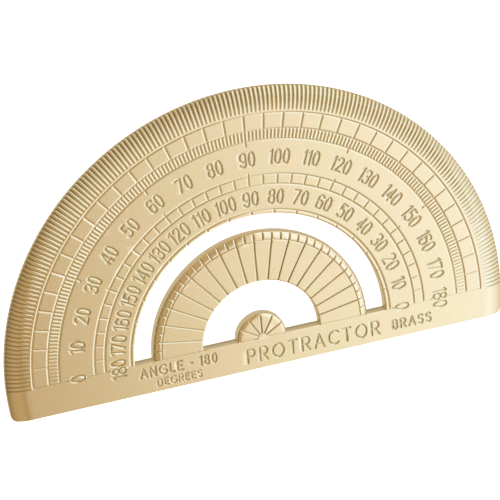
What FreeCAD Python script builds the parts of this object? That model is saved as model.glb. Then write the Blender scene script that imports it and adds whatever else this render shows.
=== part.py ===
import FreeCAD, Part
import math
import os

import Sketcher

# Pocket protractor: one flat brass plate with engraved scales and three openings.
# It is modelled as the four members that meet along the engraved baseline:
# base_bar, degree_arc, fan_arc and centre_rosette.
#
# Frame, in millimetres: the origin is on the back face, under the centre mark. +X runs along the
# baseline to the right, +Y points at 90 degrees, and +Z comes out of the graduated face.

Vector = FreeCAD.Vector
Z_UP = Vector(0, 0, 1)

# Each driving dimension: alias, value in millimetres (degrees for a step), what it is.
DIMENSIONS = [
    ("outer_radius", 50.3, "radius of the rim"),
    ("plate_thickness", 2.0, "thickness of the plate"),
    ("bar_depth", 6.4, "from the baseline down to the ruling edge"),
    ("corner_radius", 1.0, "corners at the ends of the ruling edge"),
    ("rim_width", 3.5, "width of the rounded, fluted rim"),
    ("rim_drop", 1.2, "fall of the rounded rim at its edge"),
    ("degree_arc_inner", 25.4, "inner edge of the wide arc"),
    ("fan_outer", 21.7, "outer edge of the fan arc"),
    ("fan_inner", 11.8, "inner edge of the fan arc"),
    ("fan_rim_width", 1.2, "width of the fan arc's rounded edge"),
    ("fan_rim_drop", 0.6, "fall of the fan arc's rounded edge"),
    ("rosette_radius", 5.0, "radius of the half disc at the centre"),
    ("rosette_rim_width", 0.75, "width of the half disc's rounded edge"),
    ("rosette_rim_drop", 0.4, "fall of the half disc's rounded edge"),
    ("flute_inner", 45.55, "where the rim flutes run out"),
    ("flute_width", 0.45, "width of a rim flute"),
    ("flute_depth", 0.3, "depth of a rim flute"),
    ("cell_outer", 45.4, "ring groove outside the 5 degree cells"),
    ("cell_inner", 42.3, "ring groove between the cells and the 1 degree ticks"),
    ("tick_inner", 40.25, "ring groove inside the 1 degree ticks"),
    ("small_cell_outer", 33.3, "ring groove outside the small cells"),
    ("small_cell_inner", 31.3, "ring groove inside the small cells"),
    ("lip_radius", 26.2, "ring groove beside the window's edge"),
    ("fan_ring", 20.1, "ring groove at the inner ends of the fan's short ticks"),
    ("fan_line_outer", 21.4, "outer ends of the fan's lines"),
    ("rosette_line_outer", 4.6, "outer ends of the rosette's lines"),
    ("rosette_line_inner", 0.9, "inner ends of the rosette's lines, round the centre mark"),
    ("thirty_tick_length", 0.95, "length of the extra tick at every 30 degrees"),
    ("line_width", 0.3, "width of a fine engraved line"),
    ("line_depth", 0.15, "depth of a fine engraved line"),
    ("line_end_gap", 0.05, "how far short of a ring groove's middle a line stops"),
    ("fan_line_width", 0.4, "width of a line of the fan or rosette"),
    ("fan_line_depth", 0.2, "depth of a line of the fan or rosette"),
    ("outer_number_radius", 36.7, "middle of the outer numbers"),
    ("outer_number_height", 2.65, "height of the outer numbers, between stroke centres"),
    ("inner_number_radius", 28.75, "middle of the inner numbers"),
    ("inner_number_height", 2.65, "height of the inner numbers, between stroke centres"),
    ("number_clearance", 0.15, "plain metal between a number and the baseline groove"),
    ("stroke_width", 0.4, "width of an engraved stroke of a number or letter"),
    ("stroke_depth", 0.25, "depth of an engraved stroke"),
    ("word_height", 2.75, "height of the large word on the bar, between stroke centres"),
    ("medium_word_height", 1.85, "height of the medium words on the bar, between stroke centres"),
    ("small_word_height", 1.4, "height of the small words on the bar, between stroke centres"),
    ("small_stroke_width", 0.3, "width of an engraved stroke of the small words"),
    ("degree_step", 1, "step of the ticks and flutes"),
    ("cell_step", 5, "step of the cells"),
    ("long_step", 10, "step of the numbers and of the fan's long lines"),
    ("thirty_step", 30, "step of the extra ticks and of the rosette's lines"),
]

OVERSHOOT = 1.0  # how far a cutting profile stands out of the metal that it cuts

# Engraved characters. A character is its width and its strokes, on a height of 1. A stroke is a list of
# points (x, y), joined by straight runs, and of arcs (centre x, centre y, radius, from angle, to angle).
ROUND = 0.21
DIGIT_WIDTH = 2 * ROUND
FLAG_WIDTH = 0.15
NUMBER_GAP = 0.22
WORD_GAP = 0.4


def loop(low, high, radius):
    """A closed upright loop with round ends, in the middle of a digit."""
    return [
        (ROUND - radius, low + radius),
        (ROUND, high - radius, radius, 180, 0),
        (ROUND, low + radius, radius, 0, -180),
    ]


def oval(width, side_radius):
    """A closed oval of height 1: flat arcs at its sides, and at its ends the arcs that meet them smoothly."""
    half = width / 2
    end_radius = (side_radius**2 - (side_radius - half) ** 2 - 0.25) / (2 * side_radius - 1)
    reach = math.degrees(math.atan2(0.5 - end_radius, side_radius - half))
    return [
        (side_radius, 0.5, side_radius, 180 + reach, 180 - reach),
        (half, 1 - end_radius, end_radius, 180 - reach, reach),
        (width - side_radius, 0.5, side_radius, reach, -reach),
        (half, end_radius, end_radius, -reach, reach - 180),
    ]


STEM = [(0, 0), (0, 1)]
P_BOWL = [(0, 1), (0.26, 0.74, 0.26, 90, -90), (0, 0.48)]

CHARACTERS = {
    "0": (DIGIT_WIDTH, [oval(DIGIT_WIDTH, 1.1)]),
    "1": (FLAG_WIDTH, [[(0, 0.87), (FLAG_WIDTH, 1), (FLAG_WIDTH, 0)]]),
    "2": (DIGIT_WIDTH, [[(ROUND, 1 - ROUND, ROUND, 175, -30), (0, 0), (DIGIT_WIDTH, 0)]]),
    "3": (DIGIT_WIDTH, [
        [(ROUND, 1 - ROUND, ROUND, 160, 0), (ROUND, 0.53 + ROUND, ROUND, 0, -90)],
        [(ROUND, 0.53 - ROUND, ROUND, 90, 0), (ROUND, ROUND, ROUND, 0, -160)],
    ]),
    "4": (DIGIT_WIDTH, [[(0.31, 1), (0, 0.28), (DIGIT_WIDTH, 0.28)], [(0.31, 0), (0.31, 1)]]),
    "5": (DIGIT_WIDTH, [
        [(0.4, 1), (0.05, 1), (ROUND, 0.42, ROUND, 144, 0), (ROUND, ROUND, ROUND, 0, -155)],
    ]),
    "6": (DIGIT_WIDTH, [[(ROUND, 1 - ROUND, ROUND, 25, 180), (0, 0.4)], loop(0, 0.6, ROUND)]),
    "7": (DIGIT_WIDTH, [[(0, 1), (DIGIT_WIDTH, 1), (0.14, 0)]]),
    "8": (DIGIT_WIDTH, [loop(0, 0.54, ROUND), loop(0.54, 1, 0.185)]),
    "9": (DIGIT_WIDTH, [[(ROUND, ROUND, ROUND, -155, 0), (DIGIT_WIDTH, 0.6)], loop(0.4, 1, ROUND)]),
    "-": (0.3, [[(0, 0.5), (0.3, 0.5)]]),
    " ": (0, []),
    "A": (0.66, [[(0, 0), (0.33, 1), (0.66, 0)], [(0.1, 0.3), (0.56, 0.3)]]),
    "B": (0.5, [
        STEM,
        [(0, 1), (0.24, 0.77, 0.23, 90, -90), (0, 0.54)],
        [(0, 0.54), (0.23, 0.27, 0.27, 90, -90), (0, 0)],
    ]),
    "C": (0.62, [[(0.4, 0.6, 0.4, 45, 180), (0.4, 0.4, 0.4, 180, 315)]]),
    "D": (0.6, [[(0, 0), (0, 1), (0.2, 0.6, 0.4, 90, 0), (0.2, 0.4, 0.4, 0, -90), (0, 0)]]),
    "E": (0.48, [[(0.48, 1), (0, 1), (0, 0), (0.48, 0)], [(0, 0.5), (0.42, 0.5)]]),
    "G": (0.76, [[(0.4, 0.6, 0.4, 45, 180), (0.4, 0.4, 0.4, 180, 355), (0.4, 0.42)]]),
    "L": (0.42, [[(0, 1), (0, 0), (0.42, 0)]]),
    "N": (0.56, [[(0, 0), (0, 1), (0.56, 0), (0.56, 1)]]),
    "O": (0.8, [oval(0.8, 0.55)]),
    "P": (0.52, [STEM, P_BOWL]),
    "R": (0.54, [STEM, P_BOWL, [(0.24, 0.48), (0.54, 0)]]),
    "S": (0.5, [[(0.25, 0.75, 0.25, 35, 270), (0.25, 0.25, 0.25, 90, -145)]]),
    "T": (0.6, [[(0, 1), (0.6, 1)], [(0.3, 1), (0.3, 0)]]),
}

# Plain descriptive words on the bar: text, aliases of its height and stroke, x of the middle, y of the foot.
WORDS = [
    ("ANGLE - 180", "medium_word_height", "stroke_width", -17.1, -2.9),
    ("DEGREES", "small_word_height", "small_stroke_width", -17.1, -5.25),
    ("PROTRACTOR", "word_height", "stroke_width", 10.2, -4.75),
    ("BRASS", "medium_word_height", "stroke_width", 30.6, -4.5),
]


def cell(alias):
    """The expression that reads one cell of the sheet."""
    return f"Dimensions.{alias}"


TOP = cell("plate_thickness")


def make_sheet(doc):
    """The spreadsheet that drives every size."""
    sheet = doc.addObject("Spreadsheet::Sheet", "Dimensions")
    for row, (alias, value, meaning) in enumerate(DIMENSIONS, start=1):
        sheet.set(f"A{row}", meaning)
        sheet.set(f"B{row}", str(value))
        sheet.setAlias(f"B{row}", alias)
    doc.recompute()
    return sheet


# ---------------------------------------------------------------- sketches


def new_sketch(body, name, plane):
    sketch = body.newObject("Sketcher::SketchObject", name)
    support = next(part for part in body.Origin.OriginFeatures if part.Role == plane)
    sketch.AttachmentSupport = [(support, "")]
    sketch.MapMode = "FlatFace"
    return sketch


def place(sketch, edge, position, name, expressions):
    """Ties a point of a sketch's edge to expressions for its x and, where a second is given, its y."""
    for kind, axis, expression in zip(("DistanceX", "DistanceY"), (-2, -1), expressions):
        value = float(sketch.evalExpression(expression))
        if value == 0:
            sketch.addConstraint(Sketcher.Constraint("PointOnObject", edge, position, axis))
        else:
            index = sketch.addConstraint(Sketcher.Constraint(kind, -1, 1, edge, position, value))
            sketch.renameConstraint(index, f"{name}_{kind}")
            sketch.setExpression(f"Constraints.{name}_{kind}", expression)


def draw_outline(sketch, name, corners, centres=None):
    """A closed outline through corners, each a pair of expressions.

    centres gives the centre of each edge that is an arc, by the number of the corner that it leaves.
    """
    centres = centres or {}

    def point(pair):
        return Vector(*(float(sketch.evalExpression(expression)) for expression in pair), 0)

    points = [point(corner) for corner in corners]
    edges = []
    for number, (start, end) in enumerate(zip(points, points[1:] + points[:1])):
        first, last = 1, 2
        shape = Part.LineSegment(start, end)
        if number in centres:
            middle = point(centres[number])
            circle = Part.Circle(middle, Z_UP, (start - middle).Length)
            if (start - middle).cross(end - middle).z < 0:  # arcs run anticlockwise
                start, end = end, start
                first, last = 2, 1
            shape = Part.ArcOfCircle(circle, circle.parameter(start), circle.parameter(end))
        edges.append((sketch.addGeometry(shape), first, last))
    for (edge, _, last), (following, first, _) in zip(edges, edges[1:] + edges[:1]):
        sketch.addConstraint(Sketcher.Constraint("Coincident", edge, last, following, first))
    for number, (edge, first, _) in enumerate(edges):
        place(sketch, edge, first, f"{name}_{number}", corners[number])
    for number, centre in centres.items():
        place(sketch, edges[number][0], 3, f"{name}_centre_{number}", centre[:1])


def box_corners(left, right, low, high):
    return [(left, low), (right, low), (right, high), (left, high)]


# ---------------------------------------------------------------- features


def half_ring(body, inner, outer):
    """A flat half ring above the baseline, from one radius to another."""
    sketch = new_sketch(body, "section", "XZ_Plane")
    draw_outline(sketch, "section", box_corners(inner, outer, "0", TOP))
    ring = body.newObject("PartDesign::Revolution", "half_ring")
    ring.Profile = (sketch, [""])
    ring.ReferenceAxis = (sketch, ["V_Axis"])
    ring.Angle = 180


def turned_cut(body, name, outlines):
    """Turns outlines in the XZ plane, each (corners, centres), once round the Z axis and cuts them away."""
    sketch = new_sketch(body, f"{name}_section", "XZ_Plane")
    for number, (corners, centres) in enumerate(outlines):
        draw_outline(sketch, f"{name}_{number}", corners, centres)
    groove = body.newObject("PartDesign::Groove", name)
    groove.Profile = (sketch, [""])
    groove.ReferenceAxis = (sketch, ["V_Axis"])
    groove.Angle = 360


def round_the_edge(body, radius, width, drop):
    """Rounds the top outer edge: an arc that leaves the top face smoothly and falls by drop at radius."""
    start = f"{radius} - {width}"
    low = f"{TOP} - {drop}"
    outside = f"{radius} + {OVERSHOOT}"
    above = f"{TOP} + {OVERSHOOT}"
    corners = [(start, TOP), (radius, low), (outside, low), (outside, above), (start, above)]
    centre = (start, f"{TOP} - ({width}^2 + {drop}^2) / (2 * {drop})")
    turned_cut(body, "rounded_edge", [(corners, {0: centre})])


def ring_grooves(body, radii):
    """V-shaped grooves along whole half circles."""
    width, depth = cell("line_width"), cell("line_depth")
    turned_cut(body, "ring_grooves", [
        ([(f"{radius} - {width}", f"{TOP} + {depth}"), (radius, f"{TOP} - {depth}"),
          (f"{radius} + {width}", f"{TOP} + {depth}")], None)
        for radius in radii
    ])


# ---------------------------------------------------------------- engraved lines


def line_tool(inner, outer, width, depth, sheet):
    """The solid that engraves a V-shaped line along +X between two radii."""
    high = sheet.plate_thickness + depth  # the V opens to twice its width at this height
    low = sheet.plate_thickness - depth
    section = [Vector(inner, -width, high), Vector(inner, 0, low), Vector(inner, width, high)]
    face = Part.Face(Part.makePolygon(section + section[:1]))
    return face.extrude(Vector(outer - inner, 0, 0))


def flute_tool(sheet):
    """The solid that notches the rounded rim along +X: its floor follows the rim, flute_depth under it."""
    outer, top, depth = sheet.outer_radius, sheet.plate_thickness, sheet.flute_depth
    rim_inner = outer - sheet.rim_width
    centre = Vector(rim_inner, 0, top - depth - rounding_radius(sheet.rim_width, sheet.rim_drop))
    start = Vector(rim_inner, 0, top - depth)
    end = Vector(outer, 0, top - depth - sheet.rim_drop)
    along = (start + end) * 0.5 - centre
    middle = centre + along.normalize() * (start - centre).Length
    outline = [Vector(sheet.flute_inner, 0, top), start]
    outside = [end, end + Vector(OVERSHOOT, 0, 0), Vector(outer + OVERSHOOT, 0, top + OVERSHOOT),
               Vector(sheet.flute_inner, 0, top + OVERSHOOT), outline[0]]
    wire = Part.Wire([
        Part.LineSegment(*outline).toShape(),
        Part.Arc(start, middle, end).toShape(),
        *Part.makePolygon(outside).Edges,
    ])
    face = Part.Face(wire)
    face.translate(Vector(0, -sheet.flute_width / 2, 0))
    return face.extrude(Vector(0, sheet.flute_width, 0))


def rounding_radius(width, drop):
    """Radius of the arc that leaves the top face smoothly and falls by drop over width."""
    return (width**2 + drop**2) / (2 * drop)


def fan_out(tool, angles):
    """Copies of a tool, turned about the Z axis to each angle."""
    copies = []
    for angle in angles:
        copy = tool.copy()
        copy.rotate(Vector(), Z_UP, angle)
        copies.append(copy)
    return copies


def between(step):
    """The angles at every step above the baseline, without its two ends."""
    return range(int(step), 180, int(step))


def fine_lines(inner, outer, step, sheet):
    return fan_out(line_tool(inner, outer, sheet.line_width, sheet.line_depth, sheet), between(step))


def number_reach(scale, sheet):
    """Half the length of the gap that the baseline groove leaves for a number of a scale."""
    return (sheet.get(f"{scale}_number_height") + sheet.stroke_width) / 2 + sheet.number_clearance


def baseline_tools(runs, sheet):
    """The groove along the baseline, in runs of (inner radius, outer radius) that lie on both sides."""
    return [tool for inner, outer in runs
            for tool in fan_out(line_tool(inner, outer, sheet.line_width, sheet.line_depth, sheet), (0, 180))]


def degree_arc_runs(sheet):
    inner_gap = number_reach("inner", sheet)
    outer_gap = number_reach("outer", sheet)
    return [
        (sheet.degree_arc_inner - OVERSHOOT, sheet.inner_number_radius - inner_gap),
        (sheet.inner_number_radius + inner_gap, sheet.outer_number_radius - outer_gap),
        (sheet.outer_number_radius + outer_gap, sheet.cell_outer),
    ]


def fan_runs(sheet):
    return [(sheet.fan_inner - OVERSHOOT, sheet.fan_line_outer)]


def rosette_runs(sheet):
    return [(sheet.rosette_line_inner, sheet.rosette_line_outer)]


# ---------------------------------------------------------------- engraved characters


def stroke_wire(stroke, height):
    edges = []
    last = None
    for item in stroke:
        if len(item) == 2:
            start = end = Vector(*item, 0) * height
        else:
            x, y, radius, low, high = item
            start, middle, end = (
                Vector(x + radius * math.cos(angle), y + radius * math.sin(angle), 0) * height
                for angle in (math.radians(low), math.radians((low + high) / 2), math.radians(high))
            )
        if last is not None and last.distanceToPoint(start) > 1e-6:
            edges.append(Part.LineSegment(last, start).toShape())
        if len(item) != 2:
            edges.append(Part.Arc(start, middle, end).toShape())
        last = end
    return Part.Wire(edges)


def straight_band(start, end, half_width):
    """The face of one straight stroke with round ends."""
    along = (end - start).normalize() * half_width
    aside = Z_UP.cross(along)
    return Part.Face(Part.Wire([
        Part.LineSegment(start - aside, end - aside).toShape(),
        Part.Arc(end - aside, end + along, end + aside).toShape(),
        Part.LineSegment(end + aside, start + aside).toShape(),
        Part.Arc(start + aside, start - along, start - aside).toShape(),
    ]))


def stroke_face(stroke, height, half_width):
    wire = stroke_wire(stroke, height)
    if wire.isClosed():
        return Part.Face(wire.makeOffset2D(half_width)).cut(Part.Face(wire.makeOffset2D(-half_width)))
    if len(wire.Edges) == 1 and len(stroke) == 2:
        return straight_band(wire.Vertexes[0].Point, wire.Vertexes[1].Point, half_width)
    return Part.Face(wire.makeOffset2D(half_width))


def character_tool(character, height, stroke_width, sheet):
    """The solid that engraves one character, its foot at the origin, through the top face."""
    depth = sheet.stroke_depth
    tool = None
    for stroke in CHARACTERS[character][1]:
        face = stroke_face(stroke, height, stroke_width / 2)
        face.translate(Vector(0, 0, sheet.plate_thickness - depth))
        band = face.extrude(Vector(0, 0, depth + OVERSHOOT))
        tool = band if tool is None else tool.fuse(band)
    return tool


def text_tools(text, height, stroke_width, gap, placement, sheet):
    """The solids that engrave a text, its foot centred on placement. gap is a share of the height."""
    width = sum(CHARACTERS[character][0] for character in text) + gap * (len(text) - 1)
    across = -width * height / 2
    tools = []
    for character in text:
        tool = character_tool(character, height, stroke_width, sheet)
        if tool is not None:
            tool.Placement = placement * FreeCAD.Placement(Vector(across, 0, 0), FreeCAD.Rotation())
            tools.append(tool)
        across += (CHARACTERS[character][0] + gap) * height
    return tools


def number_tools(scale, angles, sheet):
    """The numbers of one scale at angles from the right end. The outer scale counts from the left end."""
    radius = sheet.get(f"{scale}_number_radius")
    height = sheet.get(f"{scale}_number_height")
    foot = FreeCAD.Placement(Vector(0, radius - height / 2, 0), FreeCAD.Rotation())
    tools = []
    for angle in angles:
        text = str(angle if scale == "inner" else 180 - angle)
        outward = FreeCAD.Placement(Vector(), FreeCAD.Rotation(Z_UP, angle - 90))
        tools += text_tools(text, height, sheet.stroke_width, NUMBER_GAP, outward * foot, sheet)
    return tools


def engrave(doc, blank, label, tools):
    """Cuts engraving solids out of a blank and gives the result its name."""
    engraving = doc.addObject("Part::Feature", f"{label}_engraving")
    engraving.Shape = Part.Compound(tools)
    engraved = doc.addObject("Part::Cut", label)
    engraved.Base = blank
    engraved.Tool = engraving
    engraved.Label = label
    return engraved


# ---------------------------------------------------------------- the four members


def make_base_bar(doc, sheet):
    """The straight bar under the baseline. Its ends carry the rim on round."""
    body = doc.addObject("PartDesign::Body", "base_bar_blank")
    outer, depth = cell("outer_radius"), cell("bar_depth")
    corner_x = f"sqrt({outer}^2 - {depth}^2)"
    sketch = new_sketch(body, "bar_outline", "XY_Plane")
    corners = [(f"-{outer}", "0"), (f"-{corner_x}", f"-{depth}"), (corner_x, f"-{depth}"), (outer, "0")]
    draw_outline(sketch, "bar", corners, {0: ("0", "0"), 2: ("0", "0")})
    pad = body.newObject("PartDesign::Pad", "bar")
    pad.Profile = (sketch, [""])
    pad.setExpression("Length", TOP)
    doc.recompute()
    corner_edges = [
        f"Edge{number}" for number, edge in enumerate(pad.Shape.Edges, start=1)
        if abs(edge.tangentAt(edge.FirstParameter).z) > 0.9 and edge.CenterOfMass.y < -sheet.bar_depth / 2
    ]
    fillet = body.newObject("PartDesign::Fillet", "ruling_edge_corners")
    fillet.Base = (pad, corner_edges)
    fillet.setExpression("Radius", cell("corner_radius"))
    round_the_edge(body, outer, cell("rim_width"), cell("rim_drop"))
    tools = fan_out(flute_tool(sheet), (0, 180))
    tools += baseline_tools(degree_arc_runs(sheet) + fan_runs(sheet) + rosette_runs(sheet), sheet)
    for scale in ("outer", "inner"):
        tools += number_tools(scale, (0, 180), sheet)
    for text, height, stroke, middle, foot in WORDS:
        spot = FreeCAD.Placement(Vector(middle, foot, 0), FreeCAD.Rotation())
        tools += text_tools(text, sheet.get(height), sheet.get(stroke), WORD_GAP, spot, sheet)
    return engrave(doc, body, "base_bar", tools)


def make_degree_arc(doc, sheet):
    """The wide arc: fluted rim, 5 degree cells, 1 degree ticks, and both scales of numbers."""
    body = doc.addObject("PartDesign::Body", "degree_arc_blank")
    half_ring(body, cell("degree_arc_inner"), cell("outer_radius"))
    round_the_edge(body, cell("outer_radius"), cell("rim_width"), cell("rim_drop"))
    rings = ("cell_outer", "cell_inner", "tick_inner", "small_cell_outer", "small_cell_inner", "lip_radius")
    ring_grooves(body, [cell(ring) for ring in rings])
    short = sheet.line_end_gap
    tools = fan_out(flute_tool(sheet), range(0, 181, int(sheet.degree_step)))
    tools += fine_lines(sheet.cell_inner + short, sheet.cell_outer - short, sheet.cell_step, sheet)
    tools += fine_lines(sheet.tick_inner + short, sheet.cell_inner - short, sheet.degree_step, sheet)
    tools += fine_lines(sheet.small_cell_inner + short, sheet.small_cell_outer - short, sheet.cell_step, sheet)
    tools += fine_lines(sheet.degree_arc_inner - OVERSHOOT, sheet.lip_radius - short, sheet.long_step, sheet)
    long_tick = sheet.thirty_tick_length
    tools += fine_lines(sheet.tick_inner - long_tick, sheet.tick_inner - short, sheet.thirty_step, sheet)
    far_end = sheet.small_cell_outer + long_tick / 2
    tools += fine_lines(sheet.small_cell_outer + short, far_end, sheet.thirty_step, sheet)
    tools += baseline_tools(degree_arc_runs(sheet), sheet)
    for scale in ("outer", "inner"):
        tools += number_tools(scale, range(0, 181, int(sheet.long_step)), sheet)
    return engrave(doc, body, "degree_arc", tools)


def make_fan_arc(doc, sheet):
    """The inner arc with long radial lines and a short tick at every 5 degrees along its edge."""
    body = doc.addObject("PartDesign::Body", "fan_arc_blank")
    half_ring(body, cell("fan_inner"), cell("fan_outer"))
    round_the_edge(body, cell("fan_outer"), cell("fan_rim_width"), cell("fan_rim_drop"))
    ring_grooves(body, [cell("fan_ring")])
    short = sheet.line_end_gap
    long_line = line_tool(
        sheet.fan_inner - OVERSHOOT, sheet.fan_ring - short, sheet.fan_line_width, sheet.fan_line_depth, sheet
    )
    short_tick = line_tool(
        sheet.fan_ring + short, sheet.fan_line_outer, sheet.line_width, sheet.fan_line_depth * 2, sheet
    )
    tools = fan_out(long_line, between(sheet.long_step)) + fan_out(short_tick, between(sheet.cell_step))
    tools += baseline_tools(fan_runs(sheet), sheet)
    return engrave(doc, body, "fan_arc", tools)


def make_centre_rosette(doc, sheet):
    """The half disc whose lines point at the centre mark."""
    body = doc.addObject("PartDesign::Body", "centre_rosette_blank")
    half_ring(body, "0", cell("rosette_radius"))
    round_the_edge(body, cell("rosette_radius"), cell("rosette_rim_width"), cell("rosette_rim_drop"))
    line = line_tool(
        sheet.rosette_line_inner, sheet.rosette_line_outer, sheet.fan_line_width, sheet.fan_line_depth, sheet
    )
    tools = fan_out(line, between(sheet.thirty_step)) + baseline_tools(rosette_runs(sheet), sheet)
    return engrave(doc, body, "centre_rosette", tools)


def check(doc, members):
    """Stops if any object failed or any member isn't one valid solid."""
    for item in doc.Objects:
        bad = {"Invalid", "Error"} & set(item.State)
        if bad:
            raise RuntimeError(f"{item.Name} is {sorted(bad)}")
    for member in members:
        shape = member.Shape
        if shape.isNull() or not shape.isValid() or len(shape.Solids) != 1:
            raise RuntimeError(f"{member.Label} isn't one valid solid: {len(shape.Solids)} solids")
        size = shape.BoundBox
        print(f"{member.Label}: {len(shape.Faces)} faces, {shape.Volume:.1f} mm3, "
              f"x {size.XMin:.2f}..{size.XMax:.2f}, y {size.YMin:.2f}..{size.YMax:.2f}, "
              f"z {size.ZMin:.2f}..{size.ZMax:.2f}")


doc = FreeCAD.newDocument("protractor")
sheet = make_sheet(doc)
members = [
    make_base_bar(doc, sheet),
    make_degree_arc(doc, sheet),
    make_fan_arc(doc, sheet),
    make_centre_rosette(doc, sheet),
]
doc.recompute()
check(doc, members)
os.makedirs("parts", exist_ok=True)
for member in members:
    member.Shape.exportStep(f"parts/{member.Label}.step")
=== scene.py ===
import math

import bmesh
import bpy
import numpy as np
from mathutils import Matrix, Vector
from mathutils.geometry import delaunay_2d_cdt

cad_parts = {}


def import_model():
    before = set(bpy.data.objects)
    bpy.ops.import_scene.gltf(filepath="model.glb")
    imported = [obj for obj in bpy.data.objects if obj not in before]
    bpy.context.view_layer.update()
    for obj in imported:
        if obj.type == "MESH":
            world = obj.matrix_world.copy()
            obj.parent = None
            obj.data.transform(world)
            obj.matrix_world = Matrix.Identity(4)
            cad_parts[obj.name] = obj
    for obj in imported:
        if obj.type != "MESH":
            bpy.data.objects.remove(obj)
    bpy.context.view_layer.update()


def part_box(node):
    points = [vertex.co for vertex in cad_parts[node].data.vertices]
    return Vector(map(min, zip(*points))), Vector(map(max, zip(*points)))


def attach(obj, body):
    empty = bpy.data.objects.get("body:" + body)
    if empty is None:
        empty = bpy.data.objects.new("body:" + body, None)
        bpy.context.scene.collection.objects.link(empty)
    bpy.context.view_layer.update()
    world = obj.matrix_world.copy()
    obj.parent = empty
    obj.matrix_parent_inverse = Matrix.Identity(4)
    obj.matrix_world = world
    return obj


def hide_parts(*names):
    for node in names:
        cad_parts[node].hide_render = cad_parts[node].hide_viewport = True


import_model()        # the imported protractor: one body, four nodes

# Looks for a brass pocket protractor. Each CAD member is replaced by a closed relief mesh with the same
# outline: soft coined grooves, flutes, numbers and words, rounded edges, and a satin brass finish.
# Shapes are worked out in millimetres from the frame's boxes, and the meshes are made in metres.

MM = 0.001

# ---------------------------------------------------------------- sizes, in millimetres

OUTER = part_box("degree_arc")[1].x / MM
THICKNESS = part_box("degree_arc")[1].z / MM
BAR_DEPTH = -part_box("base_bar")[0].y / MM
FAN_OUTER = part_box("fan_arc")[1].x / MM
ROSETTE_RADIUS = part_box("centre_rosette")[1].x / MM

OVERRUN = 1.0  # how far a line that leaves the metal runs on past the edge
DEGREE_ARC_INNER = 25.4
FAN_INNER = 11.8
CORNER_RADIUS = 1.0

RIM = (OUTER, 3.5, 1.2)  # a rounded rim: its radius, its width, how far it falls
FAN_RIM = (FAN_OUTER, 1.2, 0.6)
ROSETTE_RIM = (ROSETTE_RADIUS, 0.75, 0.4)

CELL_OUTER = 45.4
CELL_INNER = 42.3
TICK_INNER = 40.25
SMALL_CELL_OUTER = 33.3
SMALL_CELL_INNER = 31.3
LIP = 26.2
FAN_RING = 20.1
FAN_LINE_OUTER = 21.4
ROSETTE_LINES = (0.9, 4.6)

# A groove is half of its width, its depth, and the share of its width that is flat bottom.
FINE_LINE = (0.16, 0.09, 0)
FAN_LINE = (0.19, 0.15, 0)
FLUTE = (0.3, 0.23, 0)  # at the edge of the plate
STROKE = (0.25, 0.13, 0.3)
SMALL_STROKE = (0.19, 0.11, 0.25)
FLUTES = (45.9, OUTER + OVERRUN)  # where the flutes begin and end
FLUTE_RISE = 0.4  # how the flutes deepen outward: a power of the distance
PATINA_AND_SHADE_DEPTH = 0.2  # a groove as deep as this is as dark as it gets: partly patina, partly painted shade
THIRTY_TICK = 0.95

EDGE_ROUND = 0.2
BACK_CHAMFER = 0.15

OUTER_NUMBERS = (36.7, 2.65)  # the middle of the numbers, and their height between stroke centres
INNER_NUMBERS = (28.75, 2.65)
NUMBER_STEP = 10
NUMBER_CLEARANCE = 0.15

# ---------------------------------------------------------------- engraved characters

# A character is its width and its strokes, on a height of 1. A stroke is a list of points (x, y), joined
# by straight runs, and of arcs (centre x, centre y, radius, from angle, to angle).
ROUND = 0.21
DIGIT_WIDTH = 2 * ROUND
FLAG_WIDTH = 0.15
NUMBER_GAP = 0.22
WORD_GAP = 0.4


def loop(low, high, radius):
    """A closed upright loop with round ends, in the middle of a digit."""
    return [
        (ROUND - radius, low + radius),
        (ROUND, high - radius, radius, 180, 0),
        (ROUND, low + radius, radius, 0, -180),
    ]


def oval(width, side_radius):
    """A closed oval of height 1: flat arcs at its sides, and round ends that meet them smoothly."""
    half = width / 2
    end_radius = (side_radius**2 - (side_radius - half) ** 2 - 0.25) / (2 * side_radius - 1)
    reach = math.degrees(math.atan2(0.5 - end_radius, side_radius - half))
    return [
        (side_radius, 0.5, side_radius, 180 + reach, 180 - reach),
        (half, 1 - end_radius, end_radius, 180 - reach, reach),
        (width - side_radius, 0.5, side_radius, reach, -reach),
        (half, end_radius, end_radius, -reach, reach - 180),
    ]


STEM = [(0, 0), (0, 1)]
P_BOWL = [(0, 1), (0.26, 0.74, 0.26, 90, -90), (0, 0.48)]

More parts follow.
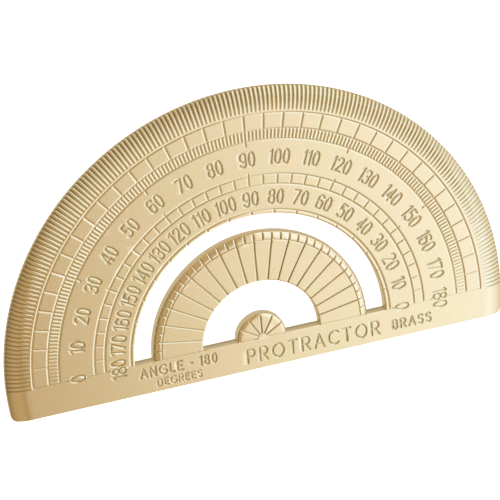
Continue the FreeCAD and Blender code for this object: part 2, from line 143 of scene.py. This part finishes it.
CHARACTERS = {
    "0": (DIGIT_WIDTH, [oval(DIGIT_WIDTH, 1.1)]),
    "1": (FLAG_WIDTH, [[(0, 0.87), (FLAG_WIDTH, 1), (FLAG_WIDTH, 0)]]),
    "2": (DIGIT_WIDTH, [[(ROUND, 1 - ROUND, ROUND, 175, -30), (0, 0), (DIGIT_WIDTH, 0)]]),
    "3": (DIGIT_WIDTH, [
        [(ROUND, 1 - ROUND, ROUND, 160, 0), (ROUND, 0.53 + ROUND, ROUND, 0, -90)],
        [(ROUND, 0.53 - ROUND, ROUND, 90, 0), (ROUND, ROUND, ROUND, 0, -160)],
    ]),
    "4": (DIGIT_WIDTH, [[(0.31, 1), (0, 0.28), (DIGIT_WIDTH, 0.28)], [(0.31, 0), (0.31, 1)]]),
    "5": (DIGIT_WIDTH, [
        [(0.4, 1), (0.05, 1), (ROUND, 0.42, ROUND, 144, 0), (ROUND, ROUND, ROUND, 0, -155)],
    ]),
    "6": (DIGIT_WIDTH, [[(ROUND, 1 - ROUND, ROUND, 25, 180), (0, 0.4)], loop(0, 0.6, ROUND)]),
    "7": (DIGIT_WIDTH, [[(0, 1), (DIGIT_WIDTH, 1), (0.14, 0)]]),
    "8": (DIGIT_WIDTH, [loop(0, 0.54, ROUND), loop(0.54, 1, 0.185)]),
    "9": (DIGIT_WIDTH, [[(ROUND, ROUND, ROUND, -155, 0), (DIGIT_WIDTH, 0.6)], loop(0.4, 1, ROUND)]),
    "-": (0.3, [[(0, 0.5), (0.3, 0.5)]]),
    " ": (0, []),
    "A": (0.66, [[(0, 0), (0.33, 1), (0.66, 0)], [(0.1, 0.3), (0.56, 0.3)]]),
    "B": (0.5, [
        STEM,
        [(0, 1), (0.24, 0.77, 0.23, 90, -90), (0, 0.54)],
        [(0, 0.54), (0.23, 0.27, 0.27, 90, -90), (0, 0)],
    ]),
    "C": (0.62, [[(0.4, 0.6, 0.4, 45, 180), (0.4, 0.4, 0.4, 180, 315)]]),
    "D": (0.6, [[(0, 0), (0, 1), (0.2, 0.6, 0.4, 90, 0), (0.2, 0.4, 0.4, 0, -90), (0, 0)]]),
    "E": (0.48, [[(0.48, 1), (0, 1), (0, 0), (0.48, 0)], [(0, 0.5), (0.42, 0.5)]]),
    "G": (0.76, [[(0.4, 0.6, 0.4, 45, 180), (0.4, 0.4, 0.4, 180, 355), (0.4, 0.42)]]),
    "L": (0.42, [[(0, 1), (0, 0), (0.42, 0)]]),
    "N": (0.56, [[(0, 0), (0, 1), (0.56, 0), (0.56, 1)]]),
    "O": (0.8, [oval(0.8, 0.55)]),
    "P": (0.52, [STEM, P_BOWL]),
    "R": (0.54, [STEM, P_BOWL, [(0.24, 0.48), (0.54, 0)]]),
    "S": (0.5, [[(0.25, 0.75, 0.25, 35, 270), (0.25, 0.25, 0.25, 90, -145)]]),
    "T": (0.6, [[(0, 1), (0.6, 1)], [(0.3, 1), (0.3, 0)]]),
}

# Plain descriptive words on the bar: text, height, groove, x of the middle, y of the foot.
WORDS = [
    ("ANGLE - 180", 1.85, STROKE, -17.1, -2.9),
    ("DEGREES", 1.4, SMALL_STROKE, -17.1, -5.25),
    ("PROTRACTOR", 2.75, STROKE, 10.2, -4.75),
    ("BRASS", 1.85, STROKE, 30.6, -4.5),
]


def point_on(centre_x, centre_y, radius, degrees):
    angle = math.radians(degrees)
    return centre_x + radius * math.cos(angle), centre_y + radius * math.sin(angle)


def line_distance(x, y, start, end):
    """Distance from points to a straight run."""
    run_x, run_y = end[0] - start[0], end[1] - start[1]
    share = ((x - start[0]) * run_x + (y - start[1]) * run_y) / (run_x**2 + run_y**2)
    share = np.clip(share, 0, 1)
    return np.hypot(x - start[0] - share * run_x, y - start[1] - share * run_y)


def arc_distance(x, y, arc):
    """Distance from points to an arc (centre x, centre y, radius, from angle, to angle)."""
    centre_x, centre_y, radius, first, last = arc
    low, span = min(first, last), abs(last - first)
    turned = (np.degrees(np.arctan2(y - centre_y, x - centre_x)) - low) % 360
    to_ends = np.minimum(*(
        np.hypot(x - end_x, y - end_y)
        for end_x, end_y in (point_on(centre_x, centre_y, radius, angle) for angle in (first, last))
    ))
    return np.where(turned <= span, abs(np.hypot(x - centre_x, y - centre_y) - radius), to_ends)


def stroke_distance(x, y, stroke):
    """Distance from points to the runs and arcs of a stroke."""
    nearest = np.full(x.shape, np.inf)
    last = None
    for item in stroke:
        is_arc = len(item) > 2
        start = point_on(*item[:4]) if is_arc else item
        if last is not None and math.dist(last, start) > 1e-6:
            nearest = np.minimum(nearest, line_distance(x, y, last, start))
        if is_arc:
            nearest = np.minimum(nearest, arc_distance(x, y, item))
        last = point_on(*item[:3], item[4]) if is_arc else item
    return nearest


def text_width(text, gap):
    return sum(CHARACTERS[character][0] for character in text) + gap * (len(text) - 1)


def text_distance(x, y, text, height, gap):
    """Distance in millimetres from points to the strokes of a text whose foot is centred on the origin."""
    x, y = x / height + text_width(text, gap) / 2, y / height
    nearest = np.full(x.shape, np.inf)
    for character in text:
        width, strokes = CHARACTERS[character]
        for stroke in strokes:
            nearest = np.minimum(nearest, stroke_distance(x, y, stroke))
        x = x - width - gap
    return nearest * height


# ---------------------------------------------------------------- the relief of the graduated face


def groove(distance, shape):
    """Depth of a groove with soft shoulders at a distance from its middle."""
    half_width, depth, flat = shape
    up_the_flank = np.clip((distance / half_width - flat) / (1 - flat), 0, 1)
    return depth * (1 + np.cos(np.pi * up_the_flank)) / 2


def past_ends(value, low, high):
    """How far a value is outside a range."""
    return np.maximum(0, np.maximum(low - value, value - high))


def radial_lines(radius, angle, reach, step, shape, first=None):
    """Depth of lines at every step of degrees, from one radius to another."""
    first = step if first is None else first
    nearest = np.clip(np.round(angle / step) * step, first, 180 - first)
    across = radius * np.sin(np.radians(angle - nearest))
    return groove(np.hypot(across, past_ends(radius, *reach)), shape)


def flutes(radius, angle, step):
    """Depth of the flutes of the rim, which deepen outward."""
    outward = np.clip((radius - FLUTES[0]) / (OUTER - FLUTES[0]), 0, 1)
    return radial_lines(radius, angle, FLUTES, step, FLUTE, first=0) * outward**FLUTE_RISE


def ring(radius, y, at):
    """Depth of a ring groove, which ends at the baseline."""
    return groove(np.hypot(radius - at, np.minimum(y, 0)), FINE_LINE)


def baseline(x, y, runs):
    """Depth of the groove along the baseline, in runs of distance from the centre."""
    depth = np.zeros(x.shape)
    for run in runs:
        depth = np.maximum(depth, groove(np.hypot(y, past_ends(abs(x), *run)), FINE_LINE))
    return depth


def numbers(x, y, radius, angle, scale, counts_up):
    """Depth of a scale of numbers. Their tops point outward."""
    middle, height = scale
    depth = np.zeros(x.shape)
    reach = height / 2 + 2 * STROKE[0]
    for mark in range(0, 181, NUMBER_STEP):
        near = (abs(angle - mark) <= NUMBER_STEP / 2) & (abs(radius - middle) < reach)
        if near.any():
            turn = math.radians(mark)
            across = x[near] * math.sin(turn) - y[near] * math.cos(turn)
            outward = x[near] * math.cos(turn) + y[near] * math.sin(turn) - middle + height / 2
            text = str(mark if counts_up else 180 - mark)
            depth[near] = groove(text_distance(across, outward, text, height, NUMBER_GAP), STROKE)
    return depth


def words(x, y):
    """Depth of the words on the bar."""
    depth = np.zeros(x.shape)
    for text, height, shape, middle, foot in WORDS:
        half = text_width(text, WORD_GAP) * height / 2 + shape[0]
        near = (abs(x - middle) < half) & (y > foot - shape[0]) & (y < foot + height + shape[0])
        if near.any():
            distance = text_distance(x[near] - middle, y[near] - foot, text, height, WORD_GAP)
            depth[near] = groove(distance, shape)
    return depth


def number_gap(scale):
    """Where the baseline groove stops for a number: from one radius to another."""
    middle, height = scale
    half = height / 2 + STROKE[0] + NUMBER_CLEARANCE
    return middle - half, middle + half


BASELINE_RUNS = [
    ROSETTE_LINES,
    (FAN_INNER, FAN_LINE_OUTER),
    (DEGREE_ARC_INNER, number_gap(INNER_NUMBERS)[0]),
    (number_gap(INNER_NUMBERS)[1], number_gap(OUTER_NUMBERS)[0]),
    (number_gap(OUTER_NUMBERS)[1], CELL_OUTER),
]


def polar(x, y):
    """Radius, and angle in degrees from the right end, which stays near 180 just under the left end."""
    angle = np.degrees(np.arctan2(y, x))
    return np.hypot(x, y), np.where(angle < -90, angle + 360, angle)


def deepest(*depths):
    return np.maximum.reduce(depths)


def degree_arc_engraving(x, y):
    radius, angle = polar(x, y)
    rings = (CELL_OUTER, CELL_INNER, TICK_INNER, SMALL_CELL_OUTER, SMALL_CELL_INNER, LIP)
    return deepest(
        flutes(radius, angle, 1),
        radial_lines(radius, angle, (CELL_INNER, CELL_OUTER), 5, FINE_LINE),
        radial_lines(radius, angle, (TICK_INNER, CELL_INNER), 1, FINE_LINE),
        radial_lines(radius, angle, (SMALL_CELL_INNER, SMALL_CELL_OUTER), 5, FINE_LINE),
        radial_lines(radius, angle, (DEGREE_ARC_INNER - OVERRUN, LIP), 10, FINE_LINE),
        radial_lines(radius, angle, (TICK_INNER - THIRTY_TICK, TICK_INNER), 30, FINE_LINE),
        radial_lines(radius, angle, (SMALL_CELL_OUTER, SMALL_CELL_OUTER + THIRTY_TICK / 2), 30, FINE_LINE),
        *(ring(radius, y, at) for at in rings),
        baseline(x, y, BASELINE_RUNS),
        numbers(x, y, radius, angle, OUTER_NUMBERS, False),
        numbers(x, y, radius, angle, INNER_NUMBERS, True),
    )


def fan_engraving(x, y):
    radius, angle = polar(x, y)
    return deepest(
        radial_lines(radius, angle, (FAN_INNER - OVERRUN, FAN_RING), 10, FAN_LINE),
        radial_lines(radius, angle, (FAN_RING, FAN_LINE_OUTER), 5, FAN_LINE),
        ring(radius, y, FAN_RING),
        baseline(x, y, BASELINE_RUNS),
    )


def rosette_engraving(x, y):
    radius, angle = polar(x, y)
    return deepest(
        radial_lines(radius, angle, ROSETTE_LINES, 30, FAN_LINE),
        baseline(x, y, BASELINE_RUNS),
    )


def bar_engraving(x, y):
    radius, angle = polar(x, y)
    return deepest(
        flutes(radius, angle, 180),
        baseline(x, y, BASELINE_RUNS),
        numbers(x, y, radius, angle, OUTER_NUMBERS, False),
        numbers(x, y, radius, angle, INNER_NUMBERS, True),
        words(x, y),
    )


def rim_fall(radius, rim):
    """How far a rounded rim is under the top face."""
    at, width, drop = rim
    round_radius = (width**2 + drop**2) / (2 * drop)
    along = np.clip(radius - at + width, 0, width)
    return round_radius - np.sqrt(round_radius**2 - along**2)


def edge_fall(distance):
    """How far a small rounding lies under the face at a distance in from the edge."""
    left = np.clip(1 - distance / EDGE_ROUND, 0, 1)
    return EDGE_ROUND * (1 - np.sqrt(1 - left**2))


def arc_edges(inner, outer):
    """The distance from the edges of an arc, as a function of place."""
    return lambda x, y: np.minimum(np.hypot(x, y) - inner, outer - np.hypot(x, y))


CORNER_Y = -BAR_DEPTH + CORNER_RADIUS
CORNER_X = math.sqrt((OUTER - CORNER_RADIUS) ** 2 - CORNER_Y**2)
CORNER_TOP = CORNER_Y * OUTER / (OUTER - CORNER_RADIUS)  # where the corner leaves the big circle


def bar_half_width(y):
    """Half the width of the bar at a height: the big circle, then the rounded corner."""
    corner = CORNER_X + np.sqrt(np.maximum(0, CORNER_RADIUS**2 - (y - CORNER_Y) ** 2))
    return np.where(y < CORNER_TOP, corner, np.sqrt(OUTER**2 - y**2))


def bar_edges(x, y):
    """The distance from the free edges of the bar, among them its top edge in the windows."""
    to_corner = CORNER_RADIUS - np.hypot(abs(x) - CORNER_X, y - CORNER_Y)
    in_corner = (y < CORNER_Y) & (abs(x) > CORNER_X)
    distance = np.minimum(OUTER - np.hypot(x, y), y + BAR_DEPTH)
    for low, high in ((ROSETTE_RADIUS, FAN_INNER), (FAN_OUTER, DEGREE_ARC_INNER)):
        distance = np.minimum(distance, np.hypot(y, past_ends(abs(x), low, high)))
    return np.where(in_corner, np.minimum(to_corner, distance), distance)


# ---------------------------------------------------------------- relief meshes

FINEST = 32  # parts that a coarse cell may be divided into, each way
SAME_POINT = 2e-8  # corners closer than this, in metres, are one
SHARP_ANGLE = math.radians(42)


def lines_between(stops, spacing):
    """Evenly spaced lines through each of the stops, no further apart than spacing."""
    parts = [
        np.linspace(low, high, math.ceil((high - low) / spacing) + 1)[:-1]
        for low, high in zip(stops, stops[1:])
    ]
    return np.concatenate([*parts, stops[-1:]])


def divided(place, columns, rows, tolerance):
    """Divides a grid of cells where the surface bends, and returns cells (left, right, low, high).

    Cells are counted in parts of a coarse cell, FINEST to each. place gives the surface's points.
    """
    left, low = (side.ravel() * FINEST for side in np.meshgrid(range(columns), range(rows)))
    cells = np.stack([left, left + FINEST, low, low + FINEST], 1)
    done = []
    steps = 4  # samples along a cell, which find a groove inside a large one
    while len(cells):
        share = np.linspace(0, 1, steps + 1)
        along = cells[:, :1] + (cells[:, 1:2] - cells[:, :1]) * share
        up = cells[:, 2:3] + (cells[:, 3:] - cells[:, 2:3]) * share
        shape = (len(cells), steps + 1, steps + 1)
        points = place(np.broadcast_to(along[:, :, None], shape), np.broadcast_to(up[:, None, :], shape))
        weight = share[None, :, None, None]
        bends = [
            np.linalg.norm(p - p[:, :1] * (1 - weight) - p[:, -1:] * weight, axis=-1).max(axis=(1, 2))
            for p in (points, points.transpose(0, 2, 1, 3))
        ]
        may = [(cells[:, 2 * way + 1] - cells[:, 2 * way] > 1) & (bends[way] > tolerance) for way in (0, 1)]
        sideways = may[0] & ((bends[0] >= bends[1]) | ~may[1])
        upright = may[1] & ~sideways
        done.append(cells[~sideways & ~upright])
        halves = []
        for chosen, way in ((sideways, 0), (upright, 1)):
            whole = cells[chosen]
            middle = (whole[:, 2 * way] + whole[:, 2 * way + 1]) // 2
            for side in (0, 1):
                half = whole.copy()
                half[:, 2 * way + 1 - side] = middle
                halves.append(half)
        cells = np.concatenate(halves)
        steps = 4 if len(done) < 3 else 2
    return np.concatenate(done)


class Grid:
    """The corners of divided cells, numbered, and found along any grid line."""

    def __init__(self, cells):
        self.span = int(cells.max()) + 1
        corners = [(cells[:, side], cells[:, end]) for side, end in ((0, 2), (1, 2), (1, 3), (0, 3))]
        self.keys = np.unique(np.concatenate([u * self.span + v for u, v in corners]))
        self.u, self.v = np.divmod(self.keys, self.span)
        self.by_row = np.argsort(self.v * self.span + self.u)
        self.row_keys = (self.v * self.span + self.u)[self.by_row]
        self.corners = np.stack([self.number(u, v) for u, v in corners], 1)

    def number(self, u, v):
        return np.searchsorted(self.keys, u * self.span + v)

    def row(self, v, first, last):
        """Numbers of the corners on one row, strictly between two ends."""
        found = np.searchsorted(self.row_keys, (v * self.span + first + 1, v * self.span + last))
        return list(self.by_row[slice(*found)])

    def column(self, u, first, last):
        found = np.searchsorted(self.keys, (u * self.span + first + 1, u * self.span + last))
        return list(range(*found))

    def outline(self, left, right, low, high):
        """The corners round a cell, in order, with those of its smaller neighbours."""
        places = ((left, low), (right, low), (right, high), (left, high))
        a, b, c, d = (int(self.number(u, v)) for u, v in places)
        return [
            a, *self.row(low, left, right), b, *self.column(right, low, high),
            c, *self.row(high, left, right)[::-1], d, *self.column(left, low, high)[::-1],
        ]


def relief_mesh(name, column_lines, row_lines, place_point, height, edges, tolerance):
    """A closed mesh: the engraved top face, upright sides, and a flat back with a small chamfer.

    place_point turns column and row values into x and y, height gives z and how deep the engraving is,
    and edges gives the distance from a free edge.
    """

    def plan(u, v):
        return place_point(
            np.interp(u / FINEST, np.arange(len(column_lines)), column_lines),
            np.interp(v / FINEST, np.arange(len(row_lines)), row_lines),
        )

    def place(u, v):
        x, y = plan(u, v)
        return np.stack([x, y, height(x, y)[0]], -1)

    cells = divided(place, len(column_lines) - 1, len(row_lines) - 1, tolerance)
    grid = Grid(cells)
    outlines = [grid.outline(*cell) for cell in cells.tolist()]
    x, y = plan(grid.u, grid.v)
    # the second value darkens the grooves: partly patina, partly painted shade
    z, patina_and_painted_shade = height(x, y)
    faces = [outline for outline in outlines if len(outline) == 4]
    points = list(zip(x, y, z))
    depths = list(patina_and_painted_shade)
    middles = [(cell, outline) for cell, outline in zip(cells, outlines) if len(outline) > 4]
    if middles:
        centres = np.array([(cell[0] + cell[1], cell[2] + cell[3]) for cell, _ in middles]) / 2
        centre_x, centre_y = plan(centres[:, 0], centres[:, 1])
        centre_z, centre_patina_and_painted_shade = height(centre_x, centre_y)
        for number, (_, outline) in enumerate(middles, start=len(points)):
            faces += [(here, there, number) for here, there in zip(outline, outline[1:] + outline[:1])]
        points += zip(centre_x, centre_y, centre_z)
        depths += list(centre_patina_and_painted_shade)

    rim = grid.outline(0, cells[:, 1].max(), 0, cells[:, 3].max())
    rim_x, rim_y = x[rim], y[rim]
    nudge = 1e-4  # a step that is small enough to take slopes over
    inset = np.maximum(0, BACK_CHAMFER - edges(rim_x, rim_y))
    slope_x = (edges(rim_x + nudge, rim_y) - edges(rim_x - nudge, rim_y)) / (2 * nudge)
    slope_y = (edges(rim_x, rim_y + nudge) - edges(rim_x, rim_y - nudge)) / (2 * nudge)
    back_x, back_y = rim_x + slope_x * inset, rim_y + slope_y * inset
    first = len(points)
    count = len(rim)
    points += zip(rim_x, rim_y, np.full(count, BACK_CHAMFER))
    points += zip(back_x, back_y, np.zeros(count))
    # the straight walls of the openings get painted shade, as dark as the grooves
    depths += 2 * list(np.where(np.abs(rim_y) < nudge, 1.0, 0.0))
    for here in range(count):
        there = (here + 1) % count
        low_here, low_there = first + here, first + there
        faces.append((rim[here], rim[there], low_there, low_here))
        faces.append((low_here, low_there, low_there + count, low_here + count))
    corners = [Vector(corner) for corner in zip(back_x, back_y)]
    borders = [(here, (here + 1) % count) for here in range(count)]
    inside_only, same_corner = 1, 1e-6
    _, _, triangles, origins, _, _ = delaunay_2d_cdt(corners, borders, [], inside_only, same_corner)
    back = first + count
    faces += [[back + origins[corner][0] for corner in triangle] for triangle in triangles]
    return make_object(name, np.array(points) * MM, faces, depths)


def make_object(name, points, faces, depths):
    """An object from points in metres, with smooth shading between its sharp edges."""
    mesh = bpy.data.meshes.new(name)
    mesh.from_pydata(points.tolist(), [], [[int(corner) for corner in face] for face in faces])
    # a point attribute for the material: patina and painted shade in the grooves, painted shade on the
    # openings' straight walls
    mesh.attributes.new("patina_and_painted_shade", "FLOAT", "POINT").data.foreach_set("value", np.array(depths, np.float32))
    shape = bmesh.new()
    shape.from_mesh(mesh)
    bmesh.ops.remove_doubles(shape, verts=shape.verts, dist=SAME_POINT)
    bmesh.ops.recalc_face_normals(shape, faces=shape.faces)
    shape.to_mesh(mesh)
    shape.free()
    mesh.shade_smooth()
    mesh.set_sharp_from_angle(angle=SHARP_ANGLE)
    piece = bpy.data.objects.new(name, mesh)
    bpy.context.scene.collection.objects.link(piece)
    return piece


# ---------------------------------------------------------------- the four members

ARC_SPACING = 1.0  # degrees between the coarse grid lines of an arc
CELL_SPACING = 0.9  # the greatest size of a coarse cell, in millimetres
TOLERANCE = 0.014  # how far the mesh may be from the surface, in millimetres
FINE_TOLERANCE = 0.005


def on_arc(angle, radius):
    turn = np.radians(angle)
    return radius * np.cos(turn), radius * np.sin(turn)


def on_bar(share, y):
    return share * bar_half_width(y), y


def relief(engraving, edges, rim):
    """The height of a member's top face, and how dark its grooves make it (partly patina, partly painted
    shade), as a function of place.
    """

    def height(x, y):
        depth = engraving(x, y)
        z = THICKNESS - rim_fall(np.hypot(x, y), rim) - edge_fall(edges(x, y)) - depth
        # the second value is the grooves' darkening: partly patina, partly painted shade
        return z, np.minimum(1, depth / PATINA_AND_SHADE_DEPTH)

    return height


def arc_member(name, stops, rim, engraving, spacing, tolerance):
    """Makes a member in the shape of a half ring or half disc."""
    edges = arc_edges(stops[0] if stops[0] > 0 else -OUTER, stops[-1])
    columns = lines_between((0, 180), spacing)
    rows = lines_between(stops, CELL_SPACING)
    return relief_mesh(name, columns, rows, on_arc, relief(engraving, edges, rim), edges, tolerance)


def degree_arc():
    stops = (
        DEGREE_ARC_INNER, LIP, SMALL_CELL_INNER, SMALL_CELL_OUTER, TICK_INNER, CELL_INNER, CELL_OUTER, OUTER,
    )
    return arc_member("degree_arc_plate", stops, RIM, degree_arc_engraving, ARC_SPACING, TOLERANCE)


def fan_arc():
    stops = (FAN_INNER, FAN_RING, FAN_OUTER)
    return arc_member("fan_arc_plate", stops, FAN_RIM, fan_engraving, 2 * ARC_SPACING, FINE_TOLERANCE)


def centre_rosette():
    stops = (0, ROSETTE_RADIUS)
    spacing = 6 * ARC_SPACING
    return arc_member(
        "centre_rosette_plate", stops, ROSETTE_RIM, rosette_engraving, spacing, FINE_TOLERANCE,
    )


def base_bar():
    columns = lines_between((-1, 0, 1), CELL_SPACING / OUTER)
    rows = lines_between((-BAR_DEPTH, 0), CELL_SPACING)
    height = relief(bar_engraving, bar_edges, RIM)
    return relief_mesh("base_bar_plate", columns, rows, on_bar, height, bar_edges, FINE_TOLERANCE)


# ---------------------------------------------------------------- brass


def enabled(sockets):
    """Sockets by name: a mix node has a set for each data type, and only one set is enabled."""
    return {socket.name: socket for socket in sockets if socket.enabled}


def brass():
    """Satin brass: cloudy and lightly brushed, paler on worn edges, darker at the bottom of grooves (partly
    patina, partly painted shade) and on the openings' straight walls (painted shade).
    """
    material = bpy.data.materials.new("satin_brass")
    material.use_nodes = True
    tree = material.node_tree
    shader = tree.nodes["Principled BSDF"]
    shader.inputs["Metallic"].default_value = 1.0
    shader.inputs["Coat Weight"].default_value = 0.25
    shader.inputs["Coat Roughness"].default_value = 0.25

    def add(kind, **values):
        made = tree.nodes.new("ShaderNode" + kind)
        for name, value in values.items():
            setattr(made, name, value)
        return made

    def link(source, output, target, socket):
        tree.links.new(source.outputs[output], target.inputs[socket])

    place = add("TexCoord")
    clouds = add("TexNoise")
    clouds.inputs["Scale"].default_value = 90
    clouds.inputs["Detail"].default_value = 3
    link(place, "Object", clouds, "Vector")

    stretch = add("Mapping")
    stretch.inputs["Scale"].default_value = (9000, 500, 500)
    link(place, "Object", stretch, "Vector")
    brushing = add("TexNoise")
    brushing.inputs["Scale"].default_value = 1
    brushing.inputs["Detail"].default_value = 2
    link(stretch, "Vector", brushing, "Vector")

    tone = add("ValToRGB")
    tone.color_ramp.elements[0].position = 0.3
    tone.color_ramp.elements[0].color = (0.91, 0.765, 0.485, 1)
    tone.color_ramp.elements[1].position = 0.7
    tone.color_ramp.elements[1].color = (0.885, 0.78, 0.46, 1)
    link(clouds, "Fac", tone, "Fac")

    shape = add("NewGeometry")
    worn = add("MapRange")
    worn.inputs["From Min"].default_value = 0.51
    worn.inputs["From Max"].default_value = 0.57
    link(shape, "Pointiness", worn, "Value")
    bright = add("Mix", data_type="RGBA")
    wear = enabled(bright.inputs)
    wear["B"].default_value = (0.97, 0.87, 0.62, 1)
    tree.links.new(worn.outputs["Result"], wear["Factor"])
    tree.links.new(tone.outputs["Color"], wear["A"])

    # painted shade and patina: the point attribute multiplies the colour darker in the grooves and on the
    # openings' straight walls
    patina_and_painted_shade = add("Attribute", attribute_name="patina_and_painted_shade")
    patina_and_painted_shade_mix = add("Mix", data_type="RGBA", blend_type="MULTIPLY")
    sockets = enabled(patina_and_painted_shade_mix.inputs)
    tree.links.new(patina_and_painted_shade.outputs["Fac"], sockets["Factor"])
    tree.links.new(enabled(bright.outputs)["Result"], sockets["A"])
    sockets["B"].default_value = (0.58, 0.60, 0.50, 1)
    tree.links.new(enabled(patina_and_painted_shade_mix.outputs)["Result"], shader.inputs["Base Color"])

    rough = add("MapRange")
    rough.inputs["To Min"].default_value = 0.2
    rough.inputs["To Max"].default_value = 0.28
    link(brushing, "Fac", rough, "Value")
    polished = add("Math", operation="MULTIPLY_ADD")  # the roughness falls where an edge is worn
    polished.inputs[1].default_value = -0.06
    link(worn, "Result", polished, 0)
    link(rough, "Result", polished, 2)
    link(polished, "Value", shader, "Roughness")

    bump = add("Bump")
    bump.inputs["Strength"].default_value = 0.05
    bump.inputs["Distance"].default_value = 0.0001
    link(brushing, "Fac", bump, "Height")
    link(bump, "Normal", shader, "Normal")
    return material


# ---------------------------------------------------------------- stage, lights and camera


def floor():
    """A plain white floor, bright enough to show no shadow."""
    half = 3.0
    below = -MM
    corners = [(-half, -half, below), (half, -half, below), (half, half, below), (-half, half, below)]
    mesh = bpy.data.meshes.new("floor")
    mesh.from_pydata(corners, [], [(0, 1, 2, 3)])
    plane = bpy.data.objects.new("floor", mesh)
    bpy.context.scene.collection.objects.link(plane)
    material = bpy.data.materials.new("white_floor")
    material.use_nodes = True
    shader = material.node_tree.nodes["Principled BSDF"]
    shader.inputs["Base Color"].default_value = (1, 1, 1, 1)
    shader.inputs["Emission Color"].default_value = (1, 1, 1, 1)
    shader.inputs["Emission Strength"].default_value = 1.0
    mesh.materials.append(material)
    plane.visible_glossy = False


def world():
    """Soft surroundings: a white studio wall on the right, warm and dimmer to the left, tan below."""
    made = bpy.data.worlds.new("studio")
    made.use_nodes = True
    tree = made.node_tree
    background = tree.nodes["Background"]
    place = tree.nodes.new("ShaderNodeTexCoord")
    split = tree.nodes.new("ShaderNodeSeparateXYZ")
    tree.links.new(place.outputs["Generated"], split.inputs["Vector"])

    across = tree.nodes.new("ShaderNodeMapRange")
    across.inputs["From Min"].default_value = -1
    tree.links.new(split.outputs["X"], across.inputs["Value"])
    ramp = tree.nodes.new("ShaderNodeValToRGB")
    stops = (
        (-1.0, (0.17, 0.12, 0.07)),
        (-0.8, (0.27, 0.19, 0.11)),
        (-0.6, (0.52, 0.39, 0.26)),
        (-0.2, (0.58, 0.43, 0.27)),
        (0.1, (0.40, 0.28, 0.14)),
        (0.18, (0.44, 0.27, 0.11)),
        (0.26, (1.16, 1.08, 0.98)),
        (0.4, (1.13, 1.28, 1.72)),
        (0.7, (1.05, 1.12, 1.30)),
        (1.0, (0.86, 0.80, 0.72)),
    )
    while len(ramp.color_ramp.elements) < len(stops):
        ramp.color_ramp.elements.new(0.5)
    for element, (toward, colour) in zip(ramp.color_ramp.elements, stops):
        element.position = (toward + 1) / 2
        element.color = (*colour, 1)
    tree.links.new(across.outputs["Result"], ramp.inputs["Fac"])

    height = tree.nodes.new("ShaderNodeMapRange")
    height.interpolation_type = "SMOOTHSTEP"
    height.inputs["From Min"].default_value = -0.4
    height.inputs["From Max"].default_value = 0.3
    tree.links.new(split.outputs["Z"], height.inputs["Value"])
    mixed = tree.nodes.new("ShaderNodeMix")
    mixed.data_type = "RGBA"
    sockets = enabled(mixed.inputs)
    sockets["A"].default_value = (0.62, 0.55, 0.48, 1)
    tree.links.new(height.outputs["Result"], sockets["Factor"])
    tree.links.new(ramp.outputs["Color"], sockets["B"])
    tree.links.new(enabled(mixed.outputs)["Result"], background.inputs["Color"])
    bpy.context.scene.world = made


def camera():
    """A long lens, above the arc's side of the plate, turned so that the ruling edge is below."""
    azimuth, elevation, roll = (math.radians(angle) for angle in (213.05, 61.0, 138.22))
    distance = 0.473
    level_share = math.cos(elevation)
    back = Vector((math.sin(azimuth) * level_share, -math.cos(azimuth) * level_share, math.sin(elevation)))
    aim = Vector((-0.0009, 0.0186, THICKNESS * MM))
    data = bpy.data.cameras.new("camera")
    data.lens = 180.97
    data.sensor_width = 36.0
    eye = bpy.data.objects.new("camera", data)
    bpy.context.scene.collection.objects.link(eye)
    level = (-back).to_track_quat("-Z", "Y")
    eye.rotation_mode = "QUATERNION"
    eye.rotation_quaternion = level @ Matrix.Rotation(roll, 3, "Z").to_quaternion()
    eye.location = aim + back * distance
    bpy.context.scene.camera = eye


MEMBERS = (
    (base_bar, "base_bar"),
    (degree_arc, "degree_arc"),
    (fan_arc, "fan_arc"),
    (centre_rosette, "centre_rosette"),
)

finish = brass()
for make, node in MEMBERS:
    piece = make()
    piece.data.materials.append(finish)
    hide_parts(node)
    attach(piece, "root")

floor()
world()
camera()
bpy.context.scene.view_settings.view_transform = "Standard"
